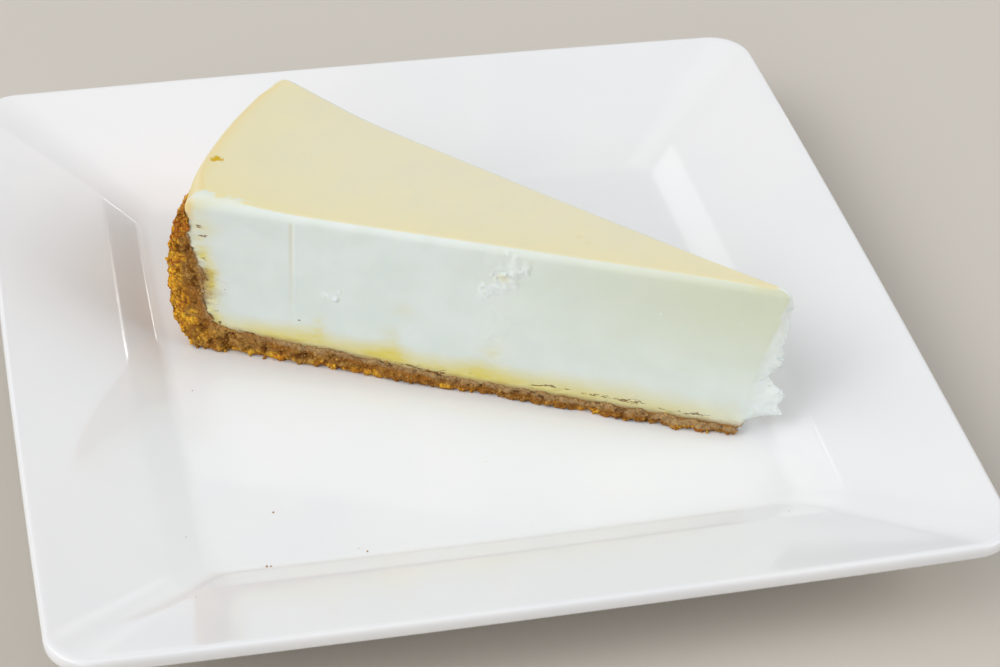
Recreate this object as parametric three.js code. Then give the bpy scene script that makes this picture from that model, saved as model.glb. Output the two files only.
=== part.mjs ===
// A slice of cheesecake on a square plate, in millimetres, +Z up.
// The origin is level with the foot's underside, below the middle of the plate, and X and Y run along
// the plate's sides.
import * as THREE from "three";
import { mergeVertices } from "three/addons/utils/BufferGeometryUtils.js";
import { ImprovedNoise } from "three/addons/math/ImprovedNoise.js";

// The plate: half widths from its middle to where each side meets its rounded corners, and heights above
// the foot's underside. Its sides bow out between the corners.
const rimHalf = 94.6;
const rimBow = 0.7;
const rimTop = 21.4;
const rimCorner = 9;
const lipHeight = 4.3;
const lipUndercut = 1.3;
const flangeFoldHalf = 69;
const flangeFoldHeight = 11;
const floorHalf = 60.7;
const floorTop = 6.75;
const wellCorner = 6;
const wallThickness = 4.2;
const footHalf = 54;
const footWidth = 4.5;
const footHeight = 2.4;
const footDraft = 0.8;
const cornerSteps = 8;
const sideSteps = 4;
const foldSteps = 3;

// The slice: radii from the middle of the cake it was cut from, and heights above the plate's floor
const wedgeAngle = THREE.MathUtils.degToRad(21.3);
const cakeMiddle = new THREE.Vector2(64.2, -43.3);
const sliceDirection = THREE.MathUtils.degToRad(145.15);
const sliceHeight = 38.3;
const outerRise = 1.2;
const outerRiseFrom = 105;
const topRadius = 132.7;
const arcSkew = 1.25;
const shoulder = 1.8;
const nearCorner = 1;
const farCorner = 3;
const nearLean = 1.3;
const farStand = 0.6;
const farFlare = 1.9;
const farFlareFrom = 92;
const gap = 0.3;

// The crumb crust: a base that thickens outwards, and a wall that stops short of the top
const baseTipRadius = 11;
const baseTipThickness = 2.3;
const baseThickness = 5.8;
const baseThickensFrom = 60;
const baseThickFrom = 120;
const footRadius = 130.8;
const bellyRadius = 136.8;
const bellyHeight = 18;
const wallHeight = 34;
const wallTopRadius = 134.3;
const filletRadius = 5;
const filletCentre = new THREE.Vector2(122.8, baseThickness + filletRadius);
const wallInnerTop = 131.5;
const footEdge = -0.3;
const wallEdge = 1.2;
const crumbSize = 4.5;
const crumbRelief = 0.8;
const cutRelief = 0.35;

// The broken tip of the filling: how far it stops from the cake's middle, and its notches and lumps
const tipReach = 4.5;
const tipFlaws = [
  { height: 39, depth: 2.2, spread: 3.5 },
  { height: 16.5, depth: 2.9, spread: 1.6 },
  { height: 12, depth: -1.5, spread: 1.2 },
  { height: 7.6, depth: -1.6, spread: 1 },
  { height: 3.2, depth: 6.4, spread: 1.9 },
];

const { lerp, clamp, smoothstep } = THREE.MathUtils;
const halfAngle = wedgeAngle / 2;
const quarterTurn = Math.PI / 2;
const noise = new ImprovedNoise();

// A closed mesh of rows and columns. Its first and last rows each shrink to one point, and
// place(row, column) says where every vertex goes.
function rowsAndColumns(rows, columns, place) {
  const rings = Array.from(
    { length: rows },
    (_, row) => new THREE.Vector2(row === 0 || row === rows - 1 ? 0 : 1, row),
  );
  const geometry = new THREE.LatheGeometry(rings, columns);
  const position = geometry.getAttribute("position");
  for (let k = 0; k < position.count; k++) {
    const point = place(k % rows, Math.floor(k / rows) % columns);
    position.setXYZ(k, point.x, point.y, point.z);
  }
  geometry.deleteAttribute("normal");
  geometry.deleteAttribute("uv");
  const closed = mergeVertices(geometry, 1e-3);
  closed.computeVertexNormals();
  return closed;
}

// A path through corners, each rounded off over its own distance along both edges
function roundedPath(corners) {
  const path = new THREE.Path();
  const at = (k) => new THREE.Vector2(corners[k].half, corners[k].z);
  path.moveTo(corners[0].half, corners[0].z);
  for (let k = 1; k < corners.length - 1; k++) {
    const here = at(k);
    const start = here.clone().add(at(k - 1).sub(here).setLength(corners[k].round));
    const end = here.clone().add(at(k + 1).sub(here).setLength(corners[k].round));
    path.lineTo(start.x, start.y);
    path.quadraticCurveTo(here.x, here.y, end.x, end.y);
  }
  const last = at(corners.length - 1);
  path.lineTo(last.x, last.y);
  return path.getPoints(foldSteps);
}

// The plate's section from the middle of its underside, round the foot and the lip, to the middle of
// its floor
function plateSection() {
  const wallSlope = Math.atan2(flangeFoldHeight - floorTop, flangeFoldHalf - floorHalf);
  const outwards = wallThickness * Math.sin(wallSlope);
  const down = wallThickness * Math.cos(wallSlope);
  return roundedPath([
    { half: 0, z: footHeight },
    { half: footHalf - footWidth, z: footHeight, round: 0.7 },
    { half: footHalf - footWidth + footDraft, z: 0, round: 0.5 },
    { half: footHalf, z: 0, round: 0.8 },
    { half: footHalf + footDraft, z: footHeight, round: 0.9 },
    { half: floorHalf + outwards, z: floorTop - down, round: 3 },
    { half: flangeFoldHalf + outwards, z: flangeFoldHeight - down, round: 3 },
    { half: rimHalf - lipUndercut, z: rimTop - lipHeight, round: 0.9 },
    { half: rimHalf, z: rimTop - 0.75 * lipHeight, round: 0.7 },
    { half: rimHalf, z: rimTop, round: 2 },
    { half: flangeFoldHalf, z: flangeFoldHeight, round: 3.2 },
    { half: floorHalf, z: floorTop, round: 4.5 },
    { half: 0, z: floorTop },
  ]);
}

// A point of a rounded square: each quarter has its corner's columns and then those of the side after it.
// The corner's radius grows with the square, first over the well and then over the flange.
function squarePoint(half, z, column) {
  const corner =
    half < flangeFoldHalf
      ? (half * wellCorner) / flangeFoldHalf
      : lerp(wellCorner, rimCorner, (half - flangeFoldHalf) / (rimHalf - flangeFoldHalf));
  const straight = half - corner;
  const quarter = Math.floor(column / (cornerSteps + sideSteps));
  const step = column % (cornerSteps + sideSteps);
  const start = new THREE.Vector2(1, 0).rotateAround(new THREE.Vector2(), quarter * quarterTurn);
  const end = new THREE.Vector2(-start.y, start.x);
  if (step <= cornerSteps) {
    const turn = (step / cornerSteps) * quarterTurn;
    start.multiplyScalar(straight + corner * Math.cos(turn));
    end.multiplyScalar(straight + corner * Math.sin(turn));
  } else {
    const along = 1 - (2 * (step - cornerSteps)) / sideSteps;
    start.multiplyScalar(straight * along);
    end.multiplyScalar(half + (rimBow * half * (1 - along ** 2)) / rimHalf);
  }
  return new THREE.Vector3(start.x + end.x, start.y + end.y, z);
}

function plateGeometry() {
  const section = plateSection();
  return rowsAndColumns(section.length, 4 * (cornerSteps + sideSteps), (row, column) =>
    squarePoint(section[row].x, section[row].y, column),
  );
}

// The outer arc lies a little nearer the cake's middle at the near cut face than at the far one
function skewed(radius, side) {
  return radius - arcSkew * side;
}

// How far a cut face stands out from the straight cut: the near face leans back at its tip's top, and the
// far face flares towards its outer top. side is 1 on the near face and -1 on the far one.
function faceOffset(radius, z, side) {
  const up = z / sliceHeight;
  if (side > 0) return -nearLean * up * clamp(1 - radius / 120, 0, 1);
  const outwards = clamp((radius - farFlareFrom) / (topRadius - farFlareFrom), 0, 1);
  return farStand + farFlare * up * outwards ** 2;
}

// A point of the slice. side runs from 1 on the near cut to -1 on the far one, and back is how far,
// in millimetres, the point lies behind its cut.
function slicePoint(radius, side, z, back) {
  const angle = side * halfAngle;
  const sideways = faceOffset(radius, z, side) * side - Math.sign(side) * back;
  return new THREE.Vector3(
    radius * Math.cos(angle) - sideways * Math.sin(angle),
    radius * Math.sin(angle) + sideways * Math.cos(angle),
    z,
  );
}

// Top of the base crust, which thickens outwards
function baseTop(radius) {
  return lerp(baseTipThickness, baseThickness, smoothstep(radius, baseThickensFrom, baseThickFrom));
}

// Inner side of the crust's wall, above its fillet
function wallInner(z) {
  const share = (z - filletCentre.y) / (wallHeight - filletCentre.y);
  return lerp(filletCentre.x + filletRadius, wallInnerTop, share);
}

// Stations along the crust's bent slab, from the base's tip to the top of the wall. Each has a point on the
// crust's outside and one on its inside, as radius and height.
function crustStations() {
  const baseSteps = 40;
  const filletSteps = 6;
  const wallSteps = 12;
  const stations = [];
  for (let k = 0; k <= baseSteps; k++) {
    const radius = lerp(baseTipRadius, filletCentre.x, k / baseSteps);
    stations.push({
      outer: new THREE.Vector2(radius, 0),
      inner: new THREE.Vector2(radius, baseTop(radius)),
    });
  }
  const foot = new THREE.Path();
  foot.moveTo(filletCentre.x, 0);
  foot.lineTo(footRadius, 0);
  foot.quadraticCurveTo(bellyRadius, 2, bellyRadius, bellyHeight);
  const footPoints = foot.getSpacedPoints(filletSteps);
  const fillet = new THREE.EllipseCurve(
    filletCentre.x, filletCentre.y, filletRadius, filletRadius, -quarterTurn, 0,
  );
  for (let k = 1; k <= filletSteps; k++) {
    stations.push({ outer: footPoints[k], inner: fillet.getPoint(k / filletSteps) });
  }
  const wall = new THREE.QuadraticBezierCurve(
    new THREE.Vector2(bellyRadius, bellyHeight),
    new THREE.Vector2(bellyRadius, (bellyHeight + wallHeight) / 2),
    new THREE.Vector2(wallTopRadius, wallHeight),
  );
  for (let k = 1; k <= wallSteps; k++) {
    const z = lerp(filletCentre.y, wallHeight, k / wallSteps);
    stations.push({
      outer: wall.getPoint(k / wallSteps),
      inner: new THREE.Vector2(wallInner(z), z),
    });
  }
  return stations;
}

// The loop round the slab: share is 0 on the crust's outside and 1 on its inside, and back says how much
// of the edge's rounding each point has
function crustLoop() {
  const near = [
    { share: 0, side: 1, back: 1 },
    { share: 0.12, side: 1, back: 0.3 },
    { share: 0.4, side: 1, back: 0 },
    { share: 0.7, side: 1, back: 0 },
    { share: 1, side: 1, back: 0 },
  ];
  const far = near.map(({ share, back }) => ({ share, side: -1, back })).reverse();
  const across = [0.75, 0.5, 0.25, 0, -0.25, -0.5, -0.75];
  return [
    ...near,
    ...across.map((side) => ({ share: 1, side, back: 0 })),
    ...far,
    ...across.map((side) => ({ share: 0, side: -side, back: 0 })),
  ];
}

// Crumbs stand proud of the crust's outside and of both its cuts. Its inside and its underside stay smooth.
// The outside's edge is rounded off behind the cut up the wall, and stands out a little along the base.
function crustGeometry() {
  const stations = crustStations();
  const loop = crustLoop();
  const last = stations.length - 1;
  return rowsAndColumns(stations.length + 2, loop.length, (row, column) => {
    const { outer, inner } = stations[clamp(row - 1, 0, last)];
    const { share, side, back } = loop[column];
    if (row === 0) return slicePoint(baseTipRadius - 0.5, 0, inner.y / 2, 0);
    if (row === last + 2) return slicePoint((outer.x + inner.x) / 2, 0, wallHeight + 0.2, 0);
    const lump = noise.noise(outer.x / crumbSize, (side * 7) / crumbSize, outer.y / crumbSize);
    const proud = share === 0 ? crumbRelief * lump * smoothstep(outer.y, 0, 4) : 0;
    const point = outer.clone().lerp(inner, share - proud / outer.distanceTo(inner));
    const cutProud = Math.abs(side) === 1 && share < 1 ? cutRelief * lump : 0;
    const rounding = back * lerp(footEdge, wallEdge, smoothstep(outer.y, 0, 6));
    return slicePoint(skewed(point.x, side), side, Math.max(point.y, 0), rounding - cutProud);
  });
}

// The filling's outer side: inside the crust's fillet and wall, and above them out to the cake's top edge
function fillingRadius(z) {
  if (z < filletCentre.y) {
    const drop = Math.min(filletCentre.y - z, filletRadius - gap);
    return filletCentre.x + Math.sqrt((filletRadius - gap) ** 2 - drop ** 2);
  }
  return z <= wallHeight + gap ? wallInner(z) - gap : topRadius;
}

function tipRadius(z) {
  const flaw = ({ height, depth, spread }) => depth * Math.exp(-(((z - height) / spread) ** 2));
  return tipFlaws.reduce((radius, each) => radius + flaw(each), tipReach);
}

function topHeight(radius) {
  return sliceHeight + outerRise * smoothstep(radius, outerRiseFrom, topRadius);
}

// Stations round the filling, seen from above, from its tip along the far cut, the arc and the near cut.
// along runs from 0 at the tip to 1 at the arc. trim moves the place in from there at a rounded corner,
// lengthwise and crosswise, and out is the outward direction, lengthwise and crosswise too.
function fillingStations() {
  const sideSteps = 34;
  const arcSteps = 12;
  const turns = [0, 0.33, 0.67, 1];
  const onSide = (along, side) => ({ along, side, trim: [0, 0], out: [0, 1] });
  const onCorner = (side, radius, turn) => {
    const lengthwise = Math.sin(turn * quarterTurn);
    const crosswise = Math.cos(turn * quarterTurn);
    return {
      along: 1,
      side,
      trim: [radius * (1 - lengthwise), radius * (1 - crosswise)],
      out: [lengthwise, crosswise],
    };
  };
  const stations = [];
  for (let k = 0; k < sideSteps; k++) stations.push(onSide(k / sideSteps, -1));
  turns.forEach((turn) => stations.push(onCorner(-1, farCorner, turn)));
  for (let k = 1; k < arcSteps; k++) {
    stations.push({ along: 1, side: (2 * k) / arcSteps - 1, trim: [0, 0], out: [1, 0] });
  }
  turns.toReversed().forEach((turn) => stations.push(onCorner(1, nearCorner, turn)));
  for (let k = sideSteps - 1; k >= 0; k--) stations.push(onSide(k / sideSteps, 1));
  stations.push({ along: 0, side: 0, trim: [0.5, 0], out: [-1, 0] });
  return stations;
}

// Rows of the filling from the middle of its underside to the middle of its top. share is the row's place
// up its own stretch, and spread is 1 on the outline and 0 at the middle.
function fillingRows() {
  const sideRows = 15;
  return [
    ...[0, 0.2, 0.45, 0.72, 0.92].map((spread) => ({ stretch: "underside", share: 0, spread })),
    ...Array.from({ length: sideRows + 1 }, (_, k) => (k / sideRows) ** 1.25).map((share) => ({
      stretch: "side",
      share,
      spread: 1,
    })),
    { stretch: "aboveCrust", share: 0, spread: 1 },
    ...[0, 0.33, 0.67, 1].map((share) => ({ stretch: "shoulder", share, spread: 1 })),
    ...[0.75, 0.4, 0].map((spread) => ({ stretch: "top", share: 1, spread })),
  ];
}

function fillingGeometry() {
  const stations = fillingStations();
  const rows = fillingRows();
  const middle = new THREE.Vector3(85, 0, 0);
  const ledge = wallHeight + gap;
  return rowsAndColumns(rows.length, stations.length, (row, column) => {
    const { stretch, share, spread } = rows[row];
    const { along, side, trim, out } = stations[column];
    const bottom = baseTop(lerp(baseTipRadius, filletCentre.x, along)) + gap;
    const turn = stretch === "shoulder" || stretch === "top" ? share * quarterTurn : 0;
    const top = topHeight(lerp(tipReach, topRadius, along));
    const heights = {
      underside: bottom,
      side: lerp(bottom, ledge, share),
      aboveCrust: ledge + gap,
      shoulder: top - shoulder * (1 - Math.sin(turn)),
      top,
    };
    const z = heights[stretch];
    const inset = shoulder * (1 - Math.cos(turn));
    const radius = lerp(tipRadius(z), skewed(fillingRadius(z), side), along) - trim[0] - inset * out[0];
    const narrow = Math.min(inset, 0.6 * radius * Math.tan(halfAngle));
    const edge = slicePoint(radius, side, z, trim[1] + narrow * out[1]);
    const point = middle.clone().lerp(edge, spread);
    const flat = Math.hypot(point.x, point.y);
    if (stretch === "underside") return point.setZ(baseTop(flat) + gap);
    if (stretch === "top") return point.setZ(topHeight(flat));
    return point.setZ(z);
  });
}

const ceramic = new THREE.MeshStandardMaterial({ color: 0xf2f3f4, roughness: 0.12, metalness: 0 });
const crumb = new THREE.MeshStandardMaterial({ color: 0xa8703a, roughness: 0.9, metalness: 0 });
const cream = new THREE.MeshStandardMaterial({ color: 0xece8cf, roughness: 0.5, metalness: 0 });

function named(name, geometry, material) {
  const mesh = new THREE.Mesh(geometry, material);
  mesh.name = name;
  return mesh;
}

const slice = new THREE.Group();
slice.position.set(cakeMiddle.x, cakeMiddle.y, floorTop + gap);
slice.rotation.z = sliceDirection;
slice.add(named("crust", crustGeometry(), crumb), named("filling", fillingGeometry(), cream));

const cheesecakeOnPlate = new THREE.Group();
cheesecakeOnPlate.add(named("plate", plateGeometry(), ceramic), slice);

export default cheesecakeOnPlate;
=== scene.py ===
"""A slice of cheesecake on a square plate: the finished surfaces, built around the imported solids.

Shapes are worked out in millimetres, as whole arrays, and go into the meshes in metres. Slice shapes are
worked out in the slice's own frame first: x runs from the middle of the cake outwards, y towards the near
cut, and z up from the slice's underside.
"""

import itertools
import math

import bmesh
import bpy
import numpy as np
from mathutils import Matrix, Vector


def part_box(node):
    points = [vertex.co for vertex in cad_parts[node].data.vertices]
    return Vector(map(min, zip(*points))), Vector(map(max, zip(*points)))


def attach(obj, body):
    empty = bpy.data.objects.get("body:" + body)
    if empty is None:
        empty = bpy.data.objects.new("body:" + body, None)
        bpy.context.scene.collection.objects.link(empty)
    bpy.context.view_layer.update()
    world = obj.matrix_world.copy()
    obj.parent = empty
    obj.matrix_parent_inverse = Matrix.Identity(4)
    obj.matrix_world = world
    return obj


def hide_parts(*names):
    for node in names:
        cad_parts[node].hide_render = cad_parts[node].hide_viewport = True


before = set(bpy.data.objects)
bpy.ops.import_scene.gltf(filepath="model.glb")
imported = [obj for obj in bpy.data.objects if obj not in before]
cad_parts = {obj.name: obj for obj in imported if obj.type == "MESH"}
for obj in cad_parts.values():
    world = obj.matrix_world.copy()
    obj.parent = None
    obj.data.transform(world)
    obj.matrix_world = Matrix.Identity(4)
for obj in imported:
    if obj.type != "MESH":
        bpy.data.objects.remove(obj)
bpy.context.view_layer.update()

MM = 0.001
plate_high = np.array(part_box("plate")[1]) / MM
crust_low = np.array(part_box("crust")[0]) / MM

# The plate: half widths from its middle, and heights above its foot's underside
RIM_BOW = 0.7
RIM_HALF = plate_high[0] - RIM_BOW
RIM_TOP = plate_high[2] + 0.56
RIM_CORNER = 9
LIP_HEIGHT = 4.3
LIP_UNDERCUT = 1.3
FOLD_HALF = 69
FOLD_HEIGHT = 11
FLOOR_HALF = 60.7
FLOOR_TOP = 6.75
WELL_CORNER = 6
WALL_THICKNESS = 4.2
FOOT_HALF = 54
FOOT_WIDTH = 4.5
FOOT_HEIGHT = 2.4
FOOT_DRAFT = 0.8
GLAZE_WAVE = 0.05
GLAZE_WAVE_SIZE = 22

# The slice: its place on the plate, radii from the middle of the cake, and heights above its underside
CAKE_MIDDLE = np.array([64.2, -43.3, crust_low[2]])
SLICE_TURN = math.radians(145.15)
HALF_ANGLE = math.radians(21.3 / 2)
SLICE_HEIGHT = 38.3
OUTER_RISE = 1.2
OUTER_RISE_FROM = 105
TOP_RADIUS = 132.7
ARC_SKEW = 1.25
SHOULDER = 1.8
NEAR_CORNER = 1
FAR_CORNER = 3
NEAR_LEAN = 1.3
FAR_STAND = 0.6
FAR_FLARE = 1.9
FAR_FLARE_FROM = 92
TIP_REACH = 4.5
BREAK_SHARE = 0.55
ARC_SHARPNESS = 0.55
CORNER_WEAR = 1.4
FILLING_MIDDLE = 85

# The crust: a base that thickens outwards, and a wall that stops short of the top
BASE_TIP_RADIUS = 11
BASE_THICKNESS = 5.8
BASE_SETTLES = 0.26
FOOT_RADIUS = 130.8
BELLY_RADIUS = 136.8
BELLY_HEIGHT = 18
WALL_HEIGHT = 34
WALL_TOP_RADIUS = 134.3
FILLET_TOP = 10.8
FILLET_START = 122.8
CRUST_EDGE = 1.1
BEDDED = 0.45
BASE_TOP = [
    # radius, height of the base's top
    (11, 2.0),
    (20, 1.9),
    (30, 2.0),
    (40, 2.2),
    (50, 2.4),
    (65, 2.7),
    (72, 2.85),
    (79, 3.2),
    (84, 3.5),
    (89, 4.0),
    (99, 4.65),
    (109, 5.05),
    (117, 5.5),
    (122.8, BASE_THICKNESS),
]
WALL_INNER = [
    # height, radius of the wall's inner side
    (BASE_THICKNESS, 122.8),
    (6.7, 126.0),
    (7.7, 127.2),
    (9.7, 128.5),
    (12.7, 129.2),
    (14.7, 129.3),
    (16.7, 129.1),
    (19.7, 128.6),
    (21.7, 129.3),
    (24.7, 130.6),
    (26.7, 131.1),
    (29.7, 131.8),
    (WALL_HEIGHT, 131.6),
]
FOOT_SLUMP = [
    # run along the near cut, how far the crust's foot stands forward
    (-4, 0.0),
    (25, 0.0),
    (30, -0.2),
    (40, 0.0),
    (48, 0.75),
    (52, 0.75),
    (56, 0.3),
    (62, 0.0),
    (70, 0.1),
    (80, 0.9),
    (87, 0.4),
    (92, 1.2),
    (95, 1.6),
    (98, 0.7),
    (105, 0.9),
    (110, 1.0),
    (117, 0.1),
]

# Where the near cut's run is counted from: the radius of the base's outer corner
RUN_START = 128.9

# How many crumbs and bits of filling there are, by their place
COARSE_CRUMBS = 2300
FINE_CRUMBS = 1500
SEAM_CRUMBS = 800
FOOT_CRUMBS = 34
CREAM_BITS = 260

rng = np.random.default_rng(7)


# Numbers

def lerp(low, high, share):
    """The value that lies share of the way from low to high."""
    return low + (high - low) * share


def ramp(value, start, end):
    """0 before start and 1 after end, turning smoothly between them: 3t^2 - 2t^3. start may be the
    larger of the two."""
    part = np.clip((value - start) / (end - start), 0, 1)
    return part * part * (3 - 2 * part)


def hill(value, middle, spread):
    """A bell of height 1 at middle: exp(-((value - middle) / spread)^2)."""
    return np.exp(-(((value - middle) / spread) ** 2))


def mound(run, height, at_run, at_height, run_spread, height_spread):
    """A bell over a cut face, the product of one along its run and one up its height."""
    return hill(run, at_run, run_spread) * hill(height, at_height, height_spread)


def listed(table, at, column=1):
    """A column of a table at a value of its first column, in a straight line between the rows."""
    columns = np.array(table).T
    return np.interp(at, columns[0], columns[column])


# Noise, as functions of place, so that it meets itself all round a closed surface

def cell_value(cells, salt):
    """A number from 0 to 1 for every whole-number cell: its three coordinates times odd numbers, added up
    and mixed by shifts and products."""
    odd = np.array([73856093, 19349663, 83492791], dtype=np.int64)
    mixed = ((cells.astype(np.int64) * odd).sum(-1) + salt * 40503).astype(np.uint64)
    mixed = (mixed ^ (mixed >> np.uint64(13))) * np.uint64(1274126177)
    mixed = (mixed ^ (mixed >> np.uint64(16))) * np.uint64(2246822519)
    return ((mixed >> np.uint64(8)) & np.uint64(0xFFFFFF)).astype(float) / 0x1000000


def smooth_noise(points, size, salt=0):
    """Values from -1 to 1: random ones at the corners of cells of this size (one number, or one for each
    axis), blended between them by smooth steps."""
    scaled = points / np.asarray(size, dtype=float)
    base = np.floor(scaled)
    part = scaled - base
    weight = part * part * (3 - 2 * part)
    total = np.zeros(points.shape[:-1])
    for corner in itertools.product((0, 1), repeat=3):
        share = np.where(np.array(corner) == 1, weight, 1 - weight).prod(-1)
        total += share * cell_value(base + np.array(corner), salt)
    return 2 * total - 1


def layered_noise(points, size, layers=3, salt=0):
    """A sum of smooth noises, each half the size and half the strength of the one before."""
    return sum(
        smooth_noise(points, np.asarray(size) / 2**layer, salt + layer) / 2**layer for layer in range(layers)
    )


def grains(points, size, salt=0):
    """Cells round one random centre for every cube of this size. Gives the distance to the nearest centre
    and to the second nearest, in cell sizes, and the nearest one's own random value."""
    scaled = points / size
    base = np.floor(scaled)
    nearest = np.full(points.shape[:-1], 9.0)
    second = nearest.copy()
    value = nearest.copy()
    for step in itertools.product((-1, 0, 1), repeat=3):
        cell = base + np.array(step)
        centre = cell + np.stack([cell_value(cell, salt + k) for k in range(3)], axis=-1)
        distance = np.linalg.norm(scaled - centre, axis=-1)
        closer = distance < nearest
        second = np.where(closer, nearest, np.minimum(second, distance))
        value = np.where(closer, cell_value(cell, salt + 3), value)
        nearest = np.where(closer, distance, nearest)
    return nearest, second, value


# Meshes

def grid_normals(grid):
    """Unit normals of a grid whose columns wrap round: the cross product of its steps along the columns and
    along the rows. They point outwards when the columns run anticlockwise seen from the last row."""
    along_rows = np.gradient(grid, axis=0)
    along_columns = (np.roll(grid, -1, axis=1) - np.roll(grid, 1, axis=1)) / 2
    normals = np.cross(along_columns, along_rows)
    return normals / np.maximum(np.linalg.norm(normals, axis=-1, keepdims=True), 1e-9)


def grid_faces(rows, columns):
    """Four-sided faces between the rows of a grid, the last column joined to the first."""
    here = np.arange(columns)
    after = (here + 1) % columns
    start = np.arange(rows - 1)[:, None] * columns
    faces = np.stack([start + here, start + after, start + columns + after, start + columns + here], axis=-1)
    return faces.reshape(-1, 4)


def add_object(name, data):
    """A new object of the scene."""
    made = bpy.data.objects.new(name, data)
    bpy.context.scene.collection.objects.link(made)
    return made


def piece(name, points, faces, material, masks=None):
    """A mesh piece from points in millimetres of the plate's frame. Points that coincide are merged, which
    closes poles and seams, and masks are kept as attributes of its points."""
    mesh = bpy.data.meshes.new(name)
    mesh.from_pydata((points.reshape(-1, 3) * MM).tolist(), [], faces.tolist())
    for mask_name, values in (masks or {}).items():
        layer = mesh.attributes.new(mask_name, "FLOAT", "POINT")
        layer.data.foreach_set("value", np.clip(values, 0, 1).astype(np.float32).ravel())
    welded = bmesh.new()
    welded.from_mesh(mesh)
    bmesh.ops.remove_doubles(welded, verts=welded.verts, dist=2e-7)
    bmesh.ops.recalc_face_normals(welded, faces=welded.faces)
    if welded.calc_volume(signed=True) < 0:
        bmesh.ops.reverse_faces(welded, faces=welded.faces)
    welded.to_mesh(mesh)
    welded.free()
    mesh.polygons.foreach_set("use_smooth", [True] * len(mesh.polygons))
    mesh.materials.append(material)
    made = add_object(name, mesh)
    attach(made, "root")
    return made


# The plate

def rounded_path(corners, longest_step, arc_steps):
    """A path through corners given as (half width, height, rounding). Each corner is a quadratic curve that
    starts and ends its rounding away from it, and straight stretches are cut into equal steps."""
    places = [np.array(corner[:2], dtype=float) for corner in corners]
    path = [places[0][None]]
    turns = np.linspace(0, 1, arc_steps + 1)[:, None]
    for before, here, after, corner in zip(places, places[1:], places[2:], corners[1:]):
        start = here + (before - here) / np.linalg.norm(before - here) * corner[2]
        end = here + (after - here) / np.linalg.norm(after - here) * corner[2]
        path.append(straight_steps(path[-1][-1], start, longest_step))
        path.append(((1 - turns) ** 2 * start + 2 * turns * (1 - turns) * here + turns**2 * end)[1:])
    path.append(straight_steps(path[-1][-1], places[-1], longest_step))
    return np.concatenate(path)


def straight_steps(start, end, longest_step):
    """Points from start to end, without start, in equal steps."""
    count = max(1, math.ceil(np.linalg.norm(end - start) / longest_step))
    return lerp(start, end, np.linspace(0, 1, count + 1)[1:, None])


def plate_section():
    """The plate's section from the middle of its underside, round the foot and the lip, to the middle of
    its floor. The wall's outside lies its thickness below its inside, square to it."""
    slope = math.atan2(FOLD_HEIGHT - FLOOR_TOP, FOLD_HALF - FLOOR_HALF)
    out = WALL_THICKNESS * math.sin(slope)
    down = WALL_THICKNESS * math.cos(slope)
    return rounded_path(
        [
            (0, FOOT_HEIGHT, 0),
            (FOOT_HALF - FOOT_WIDTH, FOOT_HEIGHT, 0.7),
            (FOOT_HALF - FOOT_WIDTH + FOOT_DRAFT, 0, 0.5),
            (FOOT_HALF, 0, 0.8),
            (FOOT_HALF + FOOT_DRAFT, FOOT_HEIGHT, 0.9),
            (FLOOR_HALF + out, FLOOR_TOP - down, 3),
            (FOLD_HALF + out, FOLD_HEIGHT - down, 3),
            (RIM_HALF - LIP_UNDERCUT, RIM_TOP - LIP_HEIGHT, 0.9),
            (RIM_HALF, RIM_TOP - 0.75 * LIP_HEIGHT, 0.7),
            (RIM_HALF, RIM_TOP, 2),
            (FOLD_HALF, FOLD_HEIGHT, 0.9),
            (FLOOR_HALF, FLOOR_TOP, 1.8),
            (0, FLOOR_TOP, 0),
        ],
        longest_step=2.2,
        arc_steps=7,
    )


def square_loops(section, corner_steps=16, side_steps=36):
    """The section carried round a rounded square. Each quarter turns its corner and then runs down the side
    after it, which bows out by RIM_BOW (1 - along^2) at the rim and in proportion further in."""
    half = section[:, 0][:, None]
    well = half * WELL_CORNER / FOLD_HALF
    flange = lerp(WELL_CORNER, RIM_CORNER, (half - FOLD_HALF) / (RIM_HALF - FOLD_HALF))
    corner = np.where(half < FOLD_HALF, well, flange)
    straight = half - corner
    turn = np.append(np.linspace(0, math.pi / 2, corner_steps + 1), np.full(side_steps - 1, math.pi / 2))
    along = np.append(np.ones(corner_steps + 1), np.linspace(1, -1, side_steps + 1)[1:-1])
    towards = straight * along + corner * np.cos(turn)
    outwards = straight + corner * np.sin(turn) + RIM_BOW * half / RIM_HALF * (1 - along**2)
    height = np.broadcast_to(section[:, 1][:, None], towards.shape)
    quarters = []
    for quarter in range(4):
        cosine, sine = round(math.cos(quarter * math.pi / 2)), round(math.sin(quarter * math.pi / 2))
        x = towards * cosine - outwards * sine
        y = towards * sine + outwards * cosine
        quarters.append(np.stack([x, y, height], axis=-1))
    return np.concatenate(quarters, axis=1)


def plate_surface():
    """The plate's loops, with a faint slow wave in height over its glazed top, from smooth noise."""
    grid = square_loops(plate_section())
    flat = grid * np.array([1, 1, 0])
    grid[..., 2] += GLAZE_WAVE * smooth_noise(flat, GLAZE_WAVE_SIZE, 3) * ramp(grid[..., 2], 3, 6)
    return grid


def plate_height(x, y):
    """Height of the plate's upper side over a place, from the inner half of its section."""
    section = plate_section()
    inner = section[np.argmax(section[:, 0]) :]
    half = np.maximum(np.abs(x), np.abs(y))
    return np.interp(half, inner[::-1, 0], inner[::-1, 1])


# The slice

def on_plate(points):
    """Points of the slice's own frame, turned and moved to their place on the plate."""
    cosine, sine = math.cos(SLICE_TURN), math.sin(SLICE_TURN)
    x, y, z = np.moveaxis(points, -1, 0)
    return np.stack([x * cosine - y * sine, x * sine + y * cosine, z], axis=-1) + CAKE_MIDDLE


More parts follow.
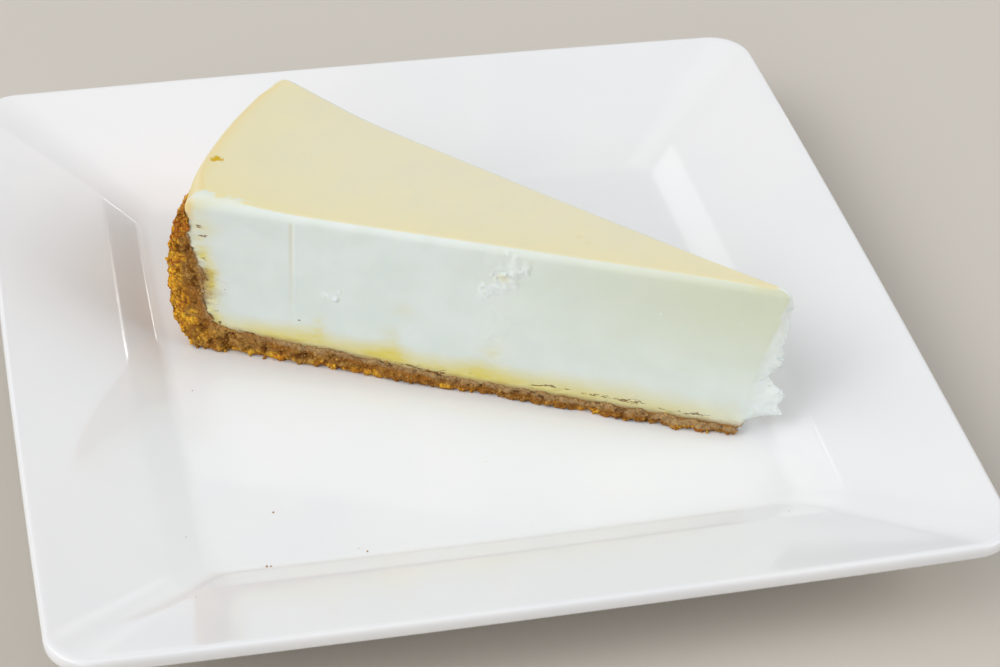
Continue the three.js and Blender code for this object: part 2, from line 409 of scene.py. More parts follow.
def face_offset(radius, height, side):
    """How far a cut face stands out from the straight cut. The near face leans back at its tip's top, and
    the far one stands out and flares towards its outer top."""
    up = height / SLICE_HEIGHT
    near = -NEAR_LEAN * up * np.clip(1 - radius / 120, 0, 1)
    outwards = np.clip((radius - FAR_FLARE_FROM) / (TOP_RADIUS - FAR_FLARE_FROM), 0, 1)
    return np.where(side > 0, near, FAR_STAND + FAR_FLARE * up * outwards**2)


def slice_point(radius, side, height, back=0.0):
    """A point of the slice: side runs from 1 on the near cut to -1 on the far one, and back is how far the
    point lies behind its cut. The direction is side times half the wedge's angle, and the face's offset is
    measured square to it."""
    radius, side, height, back = np.broadcast_arrays(radius, side, height, back)
    angle = side * HALF_ANGLE
    across = face_offset(radius, height, side) * side - np.sign(side) * back
    x = radius * np.cos(angle) - across * np.sin(angle)
    y = radius * np.sin(angle) + across * np.cos(angle)
    return np.stack([x, y, height], axis=-1)


def base_top(radius):
    """Height of the base crust's top, between the listed ones."""
    return listed(BASE_TOP, radius)


def wall_inner(height):
    """Radius of the crust wall's inner side, between the listed ones."""
    return listed(WALL_INNER, height)


def spaced(path, count):
    """Points at equal distances along a path of many points."""
    travelled = np.append(0, np.cumsum(np.linalg.norm(np.diff(path, axis=0), axis=1)))
    wanted = np.linspace(0, travelled[-1], count)
    return np.stack([np.interp(wanted, travelled, path[:, axis]) for axis in range(path.shape[1])], axis=-1)


def quadratic(start, control, end, count=60):
    """Points of a quadratic curve: (1-t)^2 start + 2t(1-t) control + t^2 end."""
    t = np.linspace(0, 1, count)[:, None]
    return (1 - t) ** 2 * np.array(start) + 2 * t * (1 - t) * np.array(control) + t**2 * np.array(end)


# The crust

def crust_stations(base_steps=400, fillet_steps=44, wall_steps=74):
    """Points on the crust's outside and inside, as radius and height, from the base's tip to the wall's
    top: along the base, round the foot and the fillet, and up the wall."""
    radius = np.linspace(BASE_TIP_RADIUS + 2.1, FILLET_START, base_steps)
    base_outer = np.stack([radius, np.zeros(base_steps)], axis=-1)
    base_inner = np.stack([radius, base_top(radius)], axis=-1)
    foot = np.concatenate(
        [
            straight_steps(base_outer[-1], np.array([FOOT_RADIUS, 0.0]), 0.5),
            quadratic((FOOT_RADIUS, 0), (BELLY_RADIUS, 2), (BELLY_RADIUS, BELLY_HEIGHT))[1:],
        ]
    )
    height = np.linspace(BASE_THICKNESS, FILLET_TOP, 4 * fillet_steps)
    fillet = spaced(np.stack([wall_inner(height), height], axis=-1), fillet_steps)
    middle_height = (BELLY_HEIGHT + WALL_HEIGHT) / 2
    wall_outer = spaced(
        quadratic(
            (BELLY_RADIUS, BELLY_HEIGHT), (BELLY_RADIUS, middle_height), (WALL_TOP_RADIUS, WALL_HEIGHT)
        ),
        wall_steps,
    )
    height = np.linspace(FILLET_TOP, WALL_HEIGHT, wall_steps)
    wall_inside = np.stack([wall_inner(height), height], axis=-1)
    outer = np.concatenate([base_outer, spaced(foot, fillet_steps)[1:], wall_outer[1:]])
    inner = np.concatenate([base_inner, fillet[1:], wall_inside[1:]])
    return outer, inner


def crust_loop(near_steps=24, far_steps=11, across_steps=56):
    """Columns round the crust's slab: share is 0 on its outside and 1 on its inside, and side runs from 1
    on the near cut to -1 on the far one. Both crossings have the same sides, so that its ends close."""
    crossing = np.linspace(1, -1, across_steps + 2)[1:-1]
    near = np.linspace(0, 1, near_steps)
    far = np.linspace(1, 0, far_steps)
    share = np.concatenate([near, np.ones(across_steps), far, np.zeros(across_steps)])
    side = np.concatenate([np.ones(near_steps), crossing, -np.ones(far_steps), crossing[::-1]])
    return share, side


def crust_form():
    """The crust's slab as a plain grid, whose ends close by rows whose shares draw together to a line. Also
    gives each point's run, height, share and side, the height that its row starts from on the outside, and
    how far its row is opened."""
    outer, inner = crust_stations()
    close = np.sin(np.linspace(0, math.pi / 2, 6))[:-1]
    squeeze = np.concatenate([close, np.ones(len(outer)), close[::-1]])
    station = np.clip(np.arange(len(squeeze)) - len(close), 0, len(outer) - 1)
    bulge = np.zeros(len(squeeze))
    bulge[: len(close)] = -(1 - close) * 0.9
    lift = np.zeros(len(squeeze))
    lift[-len(close) :] = (1 - close[::-1]) * 1.1
    share, side = crust_loop()
    share_here = 0.5 + (share[None] - 0.5) * squeeze[:, None]
    slab = (inner - outer)[station][:, None]
    place = outer[station][:, None] + slab * share_here[..., None]
    wander = 0.6 * layered_noise(np.pad(place, ((0, 0), (0, 0), (0, 1))), 2.2, 3, 29)
    wander = wander * ramp(share_here, 0.5, 1) * (np.abs(side)[None] == 1) * ramp(squeeze, 0.6, 1)[:, None]
    place = place + slab / np.linalg.norm(slab, axis=-1, keepdims=True) * wander[..., None]
    radius = place[..., 0] + bulge[:, None] - ARC_SKEW * side[None]
    height = place[..., 1] + lift[:, None]
    climb = np.broadcast_to(outer[station][:, 1][:, None], share_here.shape)
    edge = np.clip(1 - share_here / 0.28, 0, 1) ** 2 * (np.abs(side)[None] == 1)
    back = CRUST_EDGE * edge * ramp(climb, 0, 6)
    grid = slice_point(radius, np.broadcast_to(side, radius.shape), height, back)
    return grid, RUN_START - radius, height, share_here, side, climb, squeeze


def crust_surface():
    """The crust's form with its relief, and its masks. Grains of two sizes stand out along the normals, more
    on the outside than on the cuts, and the near foot is pushed out where crumbs have slumped."""
    grid, run, height, share_here, side, climb, squeeze = crust_form()
    wallward = ramp(climb, 0, 6)
    cut = np.broadcast_to(np.abs(side)[None] == 1, share_here.shape).astype(float)
    inside = (share_here > 0.99) & (cut == 0)
    ragged = share_here + 0.2 * layered_noise(grid, 2.4, 3, 13)
    band = lerp(lerp(0.26, 0.46, ramp(climb, 1, 7)), 1.1, ramp(climb, 29, 33))
    patchy = lerp(0.8 * ramp(layered_noise(grid, 7, 2, 17), -0.35, 0.25), 1, ramp(climb, 0.2, 3))
    outside = np.where(cut == 1, ramp(ragged, band + 0.07, band - 0.07) * patchy, share_here < 0.5)
    corner = mound(run, height, 1, 3, 4, 3) * cut
    outside = np.maximum(outside, 0.6 * corner * ramp(layered_noise(grid, 1.6, 2, 25), -0.6, 0.4))
    under = (share_here < 0.01) & (cut == 0) & (climb < 0.01)
    fine_near, fine_next, fine_value = grains(grid, 1.3, 11)
    coarse_near, coarse_next, _ = grains(grid, 2.6, 23)
    relief = (0.55 - fine_near) * lerp(0.4, 0.7, outside)
    relief += (0.55 - coarse_near) * lerp(0.6, 0.7, outside)
    relief += 0.3 * layered_noise(grid, 1.1, 3, 31)
    hole = ramp(layered_noise(grid, 1.7, 3, 37), 0.36, 0.7) * cut
    relief -= 0.65 * hole
    brink = ramp(share_here, 0.75, 1) * cut
    relief = relief * (1 - 0.3 * brink) + 0.08 * brink
    relief *= np.where(inside | under, 0.2, 1) * ramp(squeeze, 0, 0.6)[:, None]
    foot = ramp(height, 3.2, 0.4) * (side[None] == 1)
    slump = listed(FOOT_SLUMP, run) + 0.4 * layered_noise(grid, 2.6, 3, 5)
    patch = layered_noise(grid, 3, 2, 33)
    baseward = ramp(run, 18, 34)
    tan_from = np.interp(run, (8, 60, 98, 108), (0.85, 0.42, 0.42, 0.12))
    tan = ramp(share_here + 0.16 * layered_noise(grid, 2.2, 3, 19), tan_from, tan_from + 0.4)
    rim = share_here + 0.1 * layered_noise(grid, 2, 2, 27)
    tan = np.maximum(tan, ramp(rim, lerp(0.65, 0.8, wallward), lerp(0.95, 1.05, wallward)))
    tan = tan * cut * lerp(1, lerp(0.3, 1, ramp(run + 2 * patch, 10, 17)), climb < 6)
    grid = grid + grid_normals(grid) * relief[..., None]
    grid[..., 1] += foot * slump * math.cos(HALF_ANGLE)
    grid[..., 2] = np.maximum(grid[..., 2], -BASE_SETTLES)

    # Painted shade: the gaps between grains and the holes, which the relief sinks, get a mask that darkens
    # the crumb there.
    gap_shade = ramp(fine_next - fine_near, 0.16, 0.02)
    gap_shade = np.maximum(gap_shade, 0.8 * ramp(coarse_next - coarse_near, 0.1, 0.0))
    pit_shade = np.maximum(gap_shade * lerp(0.6, 1, outside), hole)
    masks = {
        "golden": outside,
        "pit_shade": pit_shade * lerp(1, 0.6, ramp(run, 98, 108)),
        "grain": fine_value + lerp(lerp(0.12, -0.15, baseward), -0.3, ramp(height, 15, 31)),
        "tan": tan,
    }
    return grid, masks


# The filling

TIP_PROFILE = [
    # height, radius where the broken tip ends, run where the near face breaks off
    (0, 10.5, 118.3),
    (2, 10.4, 118.4),
    (3.6, 9.7, 118.7),
    (4.2, 8.0, 118.9),
    (4.7, 6.4, 119.0),
    (5.6, 5.0, 119.0),
    (6.3, 3.3, 118.9),
    (7.6, 4.3, 118.6),
    (8.5, 4.5, 118.5),
    (9.9, 3.4, 118.4),
    (11.2, 2.8, 118.6),
    (12.3, 3.9, 119.0),
    (13.3, 5.8, 119.2),
    (14.5, 7.6, 119.4),
    (16.9, 5.7, 119.9),
    (19.3, 4.5, 120.4),
    (24.5, 4.5, 121.5),
    (29.6, 4.6, 122.9),
    (33.9, 4.2, 123.6),
    (37, 4.4, 124.0),
    (39, 4.9, 124.4),
]

STAIN_BAND = [
    # run along the near cut, strength of the yellow, height above the base of its half, its softness
    (0, 0.55, 3.4, 0.8),
    (9, 0.5, 3.2, 0.9),
    (15, 0.9, 3.2, 0.9),
    (22, 0.85, 4.0, 0.9),
    (26, 0.7, 4.8, 0.6),
    (31, 0.65, 3.3, 0.9),
    (38, 0.9, 4.0, 0.75),
    (43, 0.95, 5.0, 0.5),
    (48, 0.7, 3.7, 0.9),
    (54, 0.85, 3.6, 0.85),
    (62, 0.9, 5.1, 0.55),
    (70, 0.85, 4.0, 0.9),
    (80, 0.8, 4.1, 0.95),
    (95, 0.6, 5.0, 0.8),
    (108, 0.55, 3.8, 1.0),
    (117, 0.25, 4.6, 0.9),
    (120, 0.0, 3.0, 0.6),
]

STAIN_SPOTS = [
    # run and height of the middle, spreads towards the crust, towards the tip and up the height, strength
    (27.2, 10.5, 1.6, 0.7, 3.4, 0.22),
    (42.8, 11, 2.6, 1.3, 2.6, 0.24),
    (45, 19, 2.0, 2.0, 1.6, 0.14),
    (64.5, 11.5, 3.0, 2.6, 2.6, 0.2),
    (66, 31, 1.2, 1.2, 0.8, 0.6),
    (119.4, 38.2, 3.4, 3.4, 0.8, 0.2),
    (11, 39.3, 4.5, 4.5, 0.6, 0.3),
    (2.3, 18.4, 2.0, 2.0, 3.2, 0.75),
    (2.6, 20.5, 1.6, 1.8, 5.0, 0.4),
    (1.4, 32.0, 2.0, 2.6, 2.2, 0.42),
    (1.8, 25.4, 1.4, 1.4, 2.6, 0.34),
    (3.2, 12.0, 1.8, 1.8, 3.4, 0.3),
    (0.8, 37.0, 2.2, 2.0, 2.0, 0.22),
    (3.4, 38.6, 3.0, 4.5, 1.0, 0.14),
]

SCUFFS = [
    # run and height of the middle, spreads along the run and up the height
    (29, 20, 2.4, 1.7),
    (66, 31.5, 4.6, 4.6),
    (69.3, 35, 2.2, 1.7),
    (61.5, 27, 1.8, 2),
    (99, 28.5, 0.8, 0.5),
]

DARK_BITS = [
    # run and height of the middle, spreads along the run and up the height, share of it that is dark
    (22.2, 12, 0.42, 0.22, 1.0),
    (0.6, 32.8, 1.5, 1.0, 0.66),
    (1.6, 30.5, 1.7, 0.7, 0.66),
    (1.2, 24.2, 1.4, 0.9, 0.5),
    (1.8, 20.2, 1.4, 3.0, 0.62),
    (3.4, 13, 1.6, 2.2, 0.45),
    (4.7, 7.8, 0.5, 0.55, 0.8),
    (9.4, 6.6, 1.2, 0.35, 0.75),
    (60, 5.0, 3, 0.4, 0.45),
    (76, 5.2, 5, 0.6, 0.58),
    (86, 4.7, 6, 0.6, 0.6),
    (95, 4.5, 5, 0.8, 0.62),
    (108, 3.8, 6, 0.8, 0.62),
]

CRACKS = [
    # run where it starts and ends, its height above the base at both ends, half width
    (43.5, 55, 0.8, 0.35, 0.28),
    (52.5, 55.5, 0.9, 1.2, 0.14),
    (72.5, 78.5, 2.0, 2.5, 0.16),
    (93, 97.5, 1.6, 2.4, 0.2),
    (7.5, 13, 1.1, 0.5, 0.2),
    (29, 34, 0.8, 0.6, 0.12),
    (100, 104, 1.4, 1.1, 0.14),
    (106, 112, 1.7, 1.5, 0.12),
]

SMEAR_REACH = [
    # height, how far crumb is smeared over the filling beside the wall
    (6, 1.4),
    (11, 1.5),
    (14, 2.9),
    (18, 3.9),
    (21, 3.0),
    (24, 1.5),
    (27, 0.8),
    (36, 0.8),
]


def filling_radius(height):
    """Radius of the filling's outer side: bedded half a millimetre into the crust's fillet and wall, and
    above the wall out to the cake's top edge."""
    return np.where(height <= WALL_HEIGHT + 0.1, wall_inner(height) + BEDDED, TOP_RADIUS)


def tip_radius(height):
    """How far from the cake's middle the broken tip stops, between the listed heights."""
    return listed(TIP_PROFILE, height)


def break_run(height):
    """Run where the near face ends and the broken tip begins, between the listed heights."""
    return listed(TIP_PROFILE, height, 2)


def top_height(radius):
    """Height of the filling's top, which rises a little towards its outer edge."""
    return SLICE_HEIGHT + OUTER_RISE * ramp(radius, OUTER_RISE_FROM, TOP_RADIUS)


def filling_columns(near_steps=490, far_steps=74, arc_steps=46, corner_steps=6, tip_steps=10):
    """Columns round the filling seen from above, from the tip along the far cut, the arc and the near cut.
    along is 0 at the tip and 1 at the arc, corner is the radius of the column's nearest corner, and bend
    turns from 0 on the cuts to a right angle on the arc."""
    right = math.pi / 2
    bend = np.linspace(0, right, corner_steps)
    parts = [
        (np.arange(far_steps) / far_steps, -1, FAR_CORNER, 0),
        (1, -1, FAR_CORNER, bend),
        (1, np.linspace(-1, 1, arc_steps + 2)[1:-1], np.linspace(FAR_CORNER, NEAR_CORNER, arc_steps), right),
        (1, 1, NEAR_CORNER, bend[::-1]),
        (np.arange(near_steps)[::-1] / near_steps, 1, NEAR_CORNER, 0),
        (0, np.linspace(1, -1, tip_steps + 2)[1:-1], 0, 0),
    ]
    return np.concatenate([np.stack(np.broadcast_arrays(*part), axis=-1) for part in parts]).T


def filling_rows(side_steps=116, shoulder_steps=9):
    """Rows from the middle of the underside to the middle of the top, closer together over the base. up is
    the place between the underside and the ledge, turn the angle over the shoulder, and spread 1 on the
    outline and 0 at the middle."""
    under = [0, 0.4, 0.8, 0.96]
    top = [0.985, 0.965, 0.935, 0.89, 0.83, 0.75, 0.65, 0.53, 0.4, 0.26, 0.12, 0]
    counts = [len(under), side_steps, 1, shoulder_steps, len(top)]
    stage = np.repeat(np.arange(5), counts)
    up = np.where(stage == 0, 0.0, 1.0)
    up[stage == 1] = np.interp(np.linspace(0, 1, side_steps), (0, 0.38, 1), (0, 0.2, 1))
    turn = np.where(stage == 4, math.pi / 2, 0.0)
    turn[stage == 3] = np.linspace(0, math.pi / 2, shoulder_steps)
    spread = np.concatenate([under, np.ones(sum(counts[1:4])), top])
    return up, turn, spread, stage


def near_cracks(run, above, points):
    """Thin cracks over the base, each a bell across a line between two heights above it that wanders by
    noise, and fades at its ends, and patches of fainter ones along the lines where a noise that is longer
    than it is high is nought."""
    flat = points * np.array([1, 1, 0])
    wander = 0.45 * layered_noise(flat, 3, 3, 67)
    total = np.clip(1 - np.abs(layered_noise(points, (7, 7, 1.5), 2, 69)) / 0.12, 0, 1) * 0.6
    total = total * ramp(layered_noise(flat, 8, 2, 70), -0.1, 0.4) * ramp(run, 30, 50)
    total = total * ramp(above, 0.2, 0.7) * ramp(above, 3.4, 2.0)
    for start, end, first, last, width in CRACKS:
        middle = lerp(first, last, np.clip((run - start) / (end - start), 0, 1)) + wander
        total += hill(above, middle, width) * ramp(run, start, start + 1) * ramp(run, end, end - 1)
    return np.minimum(total * ramp(layered_noise(points, 1.3, 2, 68), -0.9, 0.1), 1)


def near_relief(run, height, points):
    """How far the near cut stands out: a knife's line with a ridge beside it, and flaky scuffs. Also gives
    a mask of the scuffs with a painted highlight along the ridge, and one of the line, where shade is
    painted along the knife's groove."""
    length = ramp(height, 37.8, 36.5) * lerp(0.1, 1, ramp(height, 8, 38))
    line = hill(run, 20.5, 0.42) * length
    ridge = hill(run, 21.4, 0.4) * length
    scuff = sum(mound(run, height, *each) for each in SCUFFS)
    flakes = layered_noise(points, (1.5, 1.5, 0.9), 3, 43)
    torn = ramp(scuff + 0.45 * layered_noise(points, 1.5, 3, 41), 0.4, 0.8)
    rough = hill(run, 66.2, 3.2) * ramp(height, 27, 22) * ramp(height, 4, 9)
    relief = -0.06 * line + 0.08 * ridge + 0.1 * rough * flakes
    # The second mask adds a painted highlight along the ridge beside the knife's line to the scuffs.
    return relief + torn * (0.1 + 0.4 * flakes), np.maximum(torn, 0.7 * ridge), line


def near_stain(run, height, above, points):
    """How yellow the near cut is: a band over the base that fades upwards, by a smooth step round its half
    height, and spots that spread further towards the crust than towards the tip."""
    strength, half, softness = (listed(STAIN_BAND, run, column) for column in (1, 2, 3))
    uneven = above + 0.5 * layered_noise(points, (5, 5, 3), 2, 61)
    band = strength * ramp(uneven, half * (1 + softness), half * (1 - softness))
    streaks = layered_noise(points, (4.5, 4.5, 1.1), 3, 63)
    run = run + 0.9 * streaks
    for at, high, before, after, spread, share in STAIN_SPOTS:
        spot = share * hill(run, at, np.where(run < at, before, after)) * hill(height, high, spread)
        band = band + spot * (1 + 0.5 * streaks)
    return band


def filling_form():
    """The filling's plain form as a grid, its rows and its columns. Over the shoulder each row is set in by
    its rounding times (1 - cos turn), and a corner keeps what that leaves of its radius. The broken tip runs
    obliquely back from the near face. Also gives the share of the way over the break."""
    rows = up, turn, spread, stage = tuple(row[:, None] for row in filling_rows())
    columns = along, side, corner, bend = tuple(column[None] for column in filling_columns())
    at_tip = (along == 0) & (np.abs(side) < 1)
    on_arc = (along == 1) & (np.abs(side) < 1)
    shoulder = stage >= 3
    ledge = WALL_HEIGHT + 0.1
    bottom = base_top(lerp(BASE_TIP_RADIUS, FILLET_START, along)) - BEDDED
    top = top_height(lerp(TIP_REACH, TOP_RADIUS, along))
    blunt = np.where(on_arc, ramp(np.abs(side), 0.7, 0.95), 1)
    rounding = SHOULDER * lerp(ARC_SHARPNESS, 1, blunt) + CORNER_WEAR * worn_corner(along, side)
    height = np.where(stage == 2, ledge + 0.3, lerp(bottom, ledge, up))
    height = np.where(shoulder, top - rounding * (1 - np.sin(turn)), height)
    inset = np.where(shoulder, rounding * (1 - np.cos(turn)), 0)

    corner = lerp(0.15, corner, ramp(height, WALL_HEIGHT - 1.5, WALL_HEIGHT + 0.5))
    spare = np.maximum(corner - inset, 0.15)
    lengthwise = np.where(on_arc, inset, inset + spare * (1 - np.sin(bend)))
    lengthwise = lerp(-np.minimum(inset, 1.2), lengthwise, along)
    crosswise = inset + spare * (1 - np.cos(bend))
    half_arc = TOP_RADIUS * HALF_ANGLE
    at_corner = (SHOULDER + CORNER_WEAR * (1 + side) / 2) * shoulder * (1 - np.cos(turn))
    at_corner = at_corner + np.maximum(corner - at_corner, 0.15)
    side = np.where(on_arc, side * (1 - 1.02 * at_corner / half_arc), side + 0 * inset)
    outline = filling_radius(height) - ARC_SKEW * side
    radius = lerp(tip_radius(height), outline, along) - lengthwise
    thickness = 2 * radius * math.tan(HALF_ANGLE)
    thickness += face_offset(radius, height, 1) + face_offset(radius, height, -1)
    crosswise = crosswise * (1 - np.exp(-0.3 * thickness / np.maximum(crosswise, 0.01)))
    crosswise = np.where(on_arc, 0, crosswise)
    by_height = np.stack(np.broadcast_arrays(0.6 * side, 0, height), axis=-1)
    teeth = 0.3 * layered_noise(by_height, 2.3, 2, 51) + 0.3 * smooth_noise(by_height, 0.75, 57)
    radius = radius - teeth * ramp(along, 0.03, 0) * ramp(height, 38, 34)
    run = RUN_START - radius
    starts = break_run(height) + 0.5 * layered_noise(by_height * np.array([0, 0, 1.0]), 2.5, 3, 53)
    broken = np.clip((run - starts) / np.maximum(RUN_START - tip_radius(height) - starts, 0.8), 0, 1)
    broken = broken * ramp(height, 37.5, 36)
    radius = radius - at_tip * 0.25 * (1 - side**2)
    faces = [slice_point(radius, face, height, crosswise) for face in (-1, 1)]
    across_tip = lerp(*faces, ((1 + side) / 2)[..., None])
    edge = np.where(at_tip[..., None], across_tip, slice_point(radius, side, height, crosswise))
    edge[..., 1] -= (1 + side) / 2 * broken**1.5 * BREAK_SHARE * thickness
    grid = lerp(np.array([FILLING_MIDDLE, 0.0, 0.0]), edge, spread[..., None])
    reach = np.hypot(grid[..., 0], grid[..., 1])
    flat_height = np.where(stage == 0, base_top(reach) - BEDDED, top_height(reach))
    rounded = height + shoulder * (top_height(reach) - top)
    grid[..., 2] = np.where((stage == 0) | (stage == 4), flat_height, rounded)
    radius = np.where(stage == 4, reach, radius)
    return grid, rows, columns, radius, broken


def worn_corner(along, side):
    """Where the near top edge is worn, beside the crust: 1 there and 0 elsewhere."""
    return ramp(side, 0.55, 1) * ramp(along, 0.84, 0.98)


def filling_surface():
    """The filling's form with its relief, and its masks. Noise that is longer than it is high roughens the
    cut beside the crust, and the broken tip is lumpy."""
    grid, (_, turn, spread, stage), (along, side, _, _), radius, broken = filling_form()
    run = RUN_START - radius
    height = grid[..., 2]
    reach = np.hypot(grid[..., 0], grid[..., 1])
    shoulder = stage >= 3
    on_arc = (along == 1) & (np.abs(side) < 1)
    near = (side > 0.999).astype(float)
    on_side = (spread == 1) & (stage >= 1)
    cut = on_side * (np.abs(side) > 0.999)
    wall_gap = filling_radius(np.minimum(height, WALL_HEIGHT)) - ARC_SKEW * side - radius
    above = np.maximum(height - base_top(radius), 0)

    # torn holds the scuffs and also a painted highlight along the ridge beside the knife's line, and line
    # marks where shade is painted along the knife's groove.
    standing, torn, line = near_relief(run, height + 0.3, grid)
    cracks = near_cracks(run, above, grid) * near * cut
    fracture = on_side * np.where(near > 0, ramp(broken, 0.0, 0.5), ramp(along, 0.012, 0))
    fracture = fracture * ramp(height, 37.5, 34)
    ragged = ramp(wall_gap + 1.8 * layered_noise(grid, (3.4, 3.4, 1.4), 3, 65), 4.0, 0.2)
    ragged = ragged * ramp(height, 36, 32) * cut
    slow = 0.10 * smooth_noise(grid, (16, 16, 9), 71) + 0.03 * smooth_noise(grid, (5, 5, 11), 73)
    relief = slow * ramp(spread, 0.5, 1.0) + near * on_side * standing * ramp(turn, 1.5, 1.2)
    relief = relief + ragged * (0.34 * layered_noise(grid, (1.8, 1.8, 0.8), 3, 75) - 0.05) - 0.3 * cracks
    smear = listed(SMEAR_REACH, height)
    smear = smear * (1 + 0.5 * layered_noise(grid, (3.4, 3.4, 1.1), 3, 85))
    seam = np.minimum(above / 1.2, np.maximum(wall_gap, 0) / np.maximum(smear, 0.3))
    seam = np.exp(-seam) * cut * (height < 36)
    relief = relief - 0.15 * seam**2 * (1 - fracture)
    lumps = 0.14 * layered_noise(grid, (2.2, 2.2, 3), 2, 77) + 0.14 * layered_noise(grid, 1.1, 2, 79)
    relief = relief + fracture * lumps
    outwards = np.where((stage == 4)[..., None], np.array([0.0, 0.0, 1.0]), grid_normals(grid))
    grid = grid + outwards * (relief * ramp(spread, 0.2, 1.0))[..., None]

    far_band = 0.7 * ramp(above, 7, 0) * (0.9 + 0.3 * smooth_noise(grid * np.array([1, 1, 0]), 9, 81))
    stain = np.where(near > 0, near_stain(run, height, above, grid), far_band) + 0.25 * ragged
    bits = sum(share * mound(run, height + 0.3, *each) for *each, share in DARK_BITS) * near * cut
    bare = worn_corner(along, side) * near * ramp(spread, 0.95, 0.985)
    bare = bare * (1 + 0.5 * layered_noise(grid, (3, 3, 1.5), 3, 83))
    skin = np.where(stage == 4, 1, ramp(turn, 1.0, 1.5)) * shoulder
    skin = np.where(on_arc, shoulder * ramp(turn, 0.1, 0.9), skin) * (1 - 0.85 * ramp(bare, 0.35, 0.8))
    skin = skin * ramp(run, 123.5, 120)
    white_edge = 0.3 * hill(turn, 1.1, 0.35) * (stage == 3)
    beside_arc = TOP_RADIUS - ARC_SKEW * side - reach
    beside_near = reach * np.sin(HALF_ANGLE - np.arctan2(grid[..., 1], grid[..., 0]))
    gold = ramp(wall_gap, 2.4, 0.2) * ramp(height, 33, 35) * ramp(height, 40, 37.5)
    gold = np.maximum(gold, on_arc * 0.55)
    warm = np.exp(-np.maximum(beside_near, 0) / 8) * 0.6
    masks = {
        "skin": skin,
        "warm": warm + 0.5 * np.exp(-np.maximum(beside_arc, 0) / 14),
        "stain": stain * cut * (1 - fracture),
        "gold": np.maximum(gold * on_side, ramp(beside_arc, 3.5, 0) * skin * 0.5),
        "dark": np.maximum(bits, cracks),
        # Whiter scuffs and broken tip, and a painted highlight along the knife's ridge
        "bright": np.maximum(np.maximum(0.6 * torn * near * cut, fracture), white_edge),
        "green": near * cut * ramp(run, 45, 122) * ramp(height, 4, 34),
        # Painted shade along the knife's groove
        "line": line * near * cut,
        "seam": seam,
        # These two only say where crumbs and bits of filling lie
        "edge": fracture * ramp(along, 0.006, 0.002),
        "wallside": ramp(above, 3, 6),
    }
    return grid, masks


# Crumbs

def crumb_shape(columns=6, rings=3):
    """Points and triangles of a small rounded lump: rings of a sphere between two poles."""
    polar = np.linspace(0, math.pi, rings + 2)[1:-1][:, None]
    turn = np.linspace(0, 2 * math.pi, columns, endpoint=False)[None]
    across = np.sin(polar)
    ring = np.broadcast_arrays(across * np.cos(turn), across * np.sin(turn), np.cos(polar))
    ring = np.stack(ring, axis=-1)
    points = np.concatenate([[[0, 0, 1.0]], ring.reshape(-1, 3), [[0, 0, -1.0]]])
    here = np.arange(columns)
    after = (here + 1) % columns
    first = np.stack([np.zeros(columns, int), 1 + here, 1 + after], axis=-1)
    start = 1 + np.arange(rings - 1)[:, None] * columns
    lower = np.stack([start + here, start + columns + here, start + columns + after], axis=-1).reshape(-1, 3)
    upper = np.stack([start + here, start + columns + after, start + after], axis=-1).reshape(-1, 3)
    last_start = 1 + (rings - 1) * columns
    last = np.stack([last_start + here, np.full(columns, len(points) - 1), last_start + after], axis=-1)
    return points, np.concatenate([first, lower, upper, last])


def crumb_heap(centres, sizes):
    """One crumb at each centre: the lump stretched unevenly, roughened by noise and turned at random."""
    shape, triangles = crumb_shape()
    count = len(centres)
    stretch = rng.uniform(0.6, 1.25, (count, 1, 3))
    rough = 1 + 0.5 * smooth_noise(shape[None] * 1.0 + 10 * np.arange(count)[:, None, None], 0.8, 91)
    turned, _ = np.linalg.qr(rng.normal(size=(count, 3, 3)))
    turned *= np.sign(np.linalg.det(turned))[:, None, None]
    lumps = np.einsum("nij,nkj->nki", turned, shape[None] * stretch * rough[..., None])
    points = centres[:, None] + lumps * sizes[:, None, None]
    faces = triangles[None] + len(shape) * np.arange(count)[:, None, None]
    return points, faces.reshape(-1, 3), len(shape)


PLATE_SPECKS = [
    # x, y and half width
    (-45.9, -45.4, 0.24),
    (-29.3, -60.0, 0.2),
    (-30.9, -58.8, 0.13),
    (-49.6, -61.0, 0.36),
    (-48.8, -61.1, 0.2),
    (-64.2, -51.4, 0.13),
    (-56.9, -4.7, 0.17),
    (-0.1, -37.8, 0.13),
    (56.5, -66.2, 0.13),
    (-64.9, -72.2, 0.15),
]


def scattered(grid, weight, count, smallest, spread, sunk):
    """Points of a grid drawn at random by weight and area. Gives their numbers, the centres of crumbs there,
    sunk by a share of their size, and the crumbs' half widths, most of them small."""
    across = np.linalg.norm(np.gradient(grid, axis=1), axis=-1)
    upwards = np.linalg.norm(np.gradient(grid, axis=0), axis=-1)
    weight = (weight * across * upwards).ravel()
    chosen = rng.choice(weight.size, count, replace=False, p=weight / weight.sum())
    sizes = smallest + spread * rng.uniform(0, 1, count) ** 2
    inwards = grid_normals(grid).reshape(-1, 3)[chosen] * (sunk * sizes)[:, None]
    return chosen, on_plate(grid.reshape(-1, 3)[chosen] - inwards), sizes


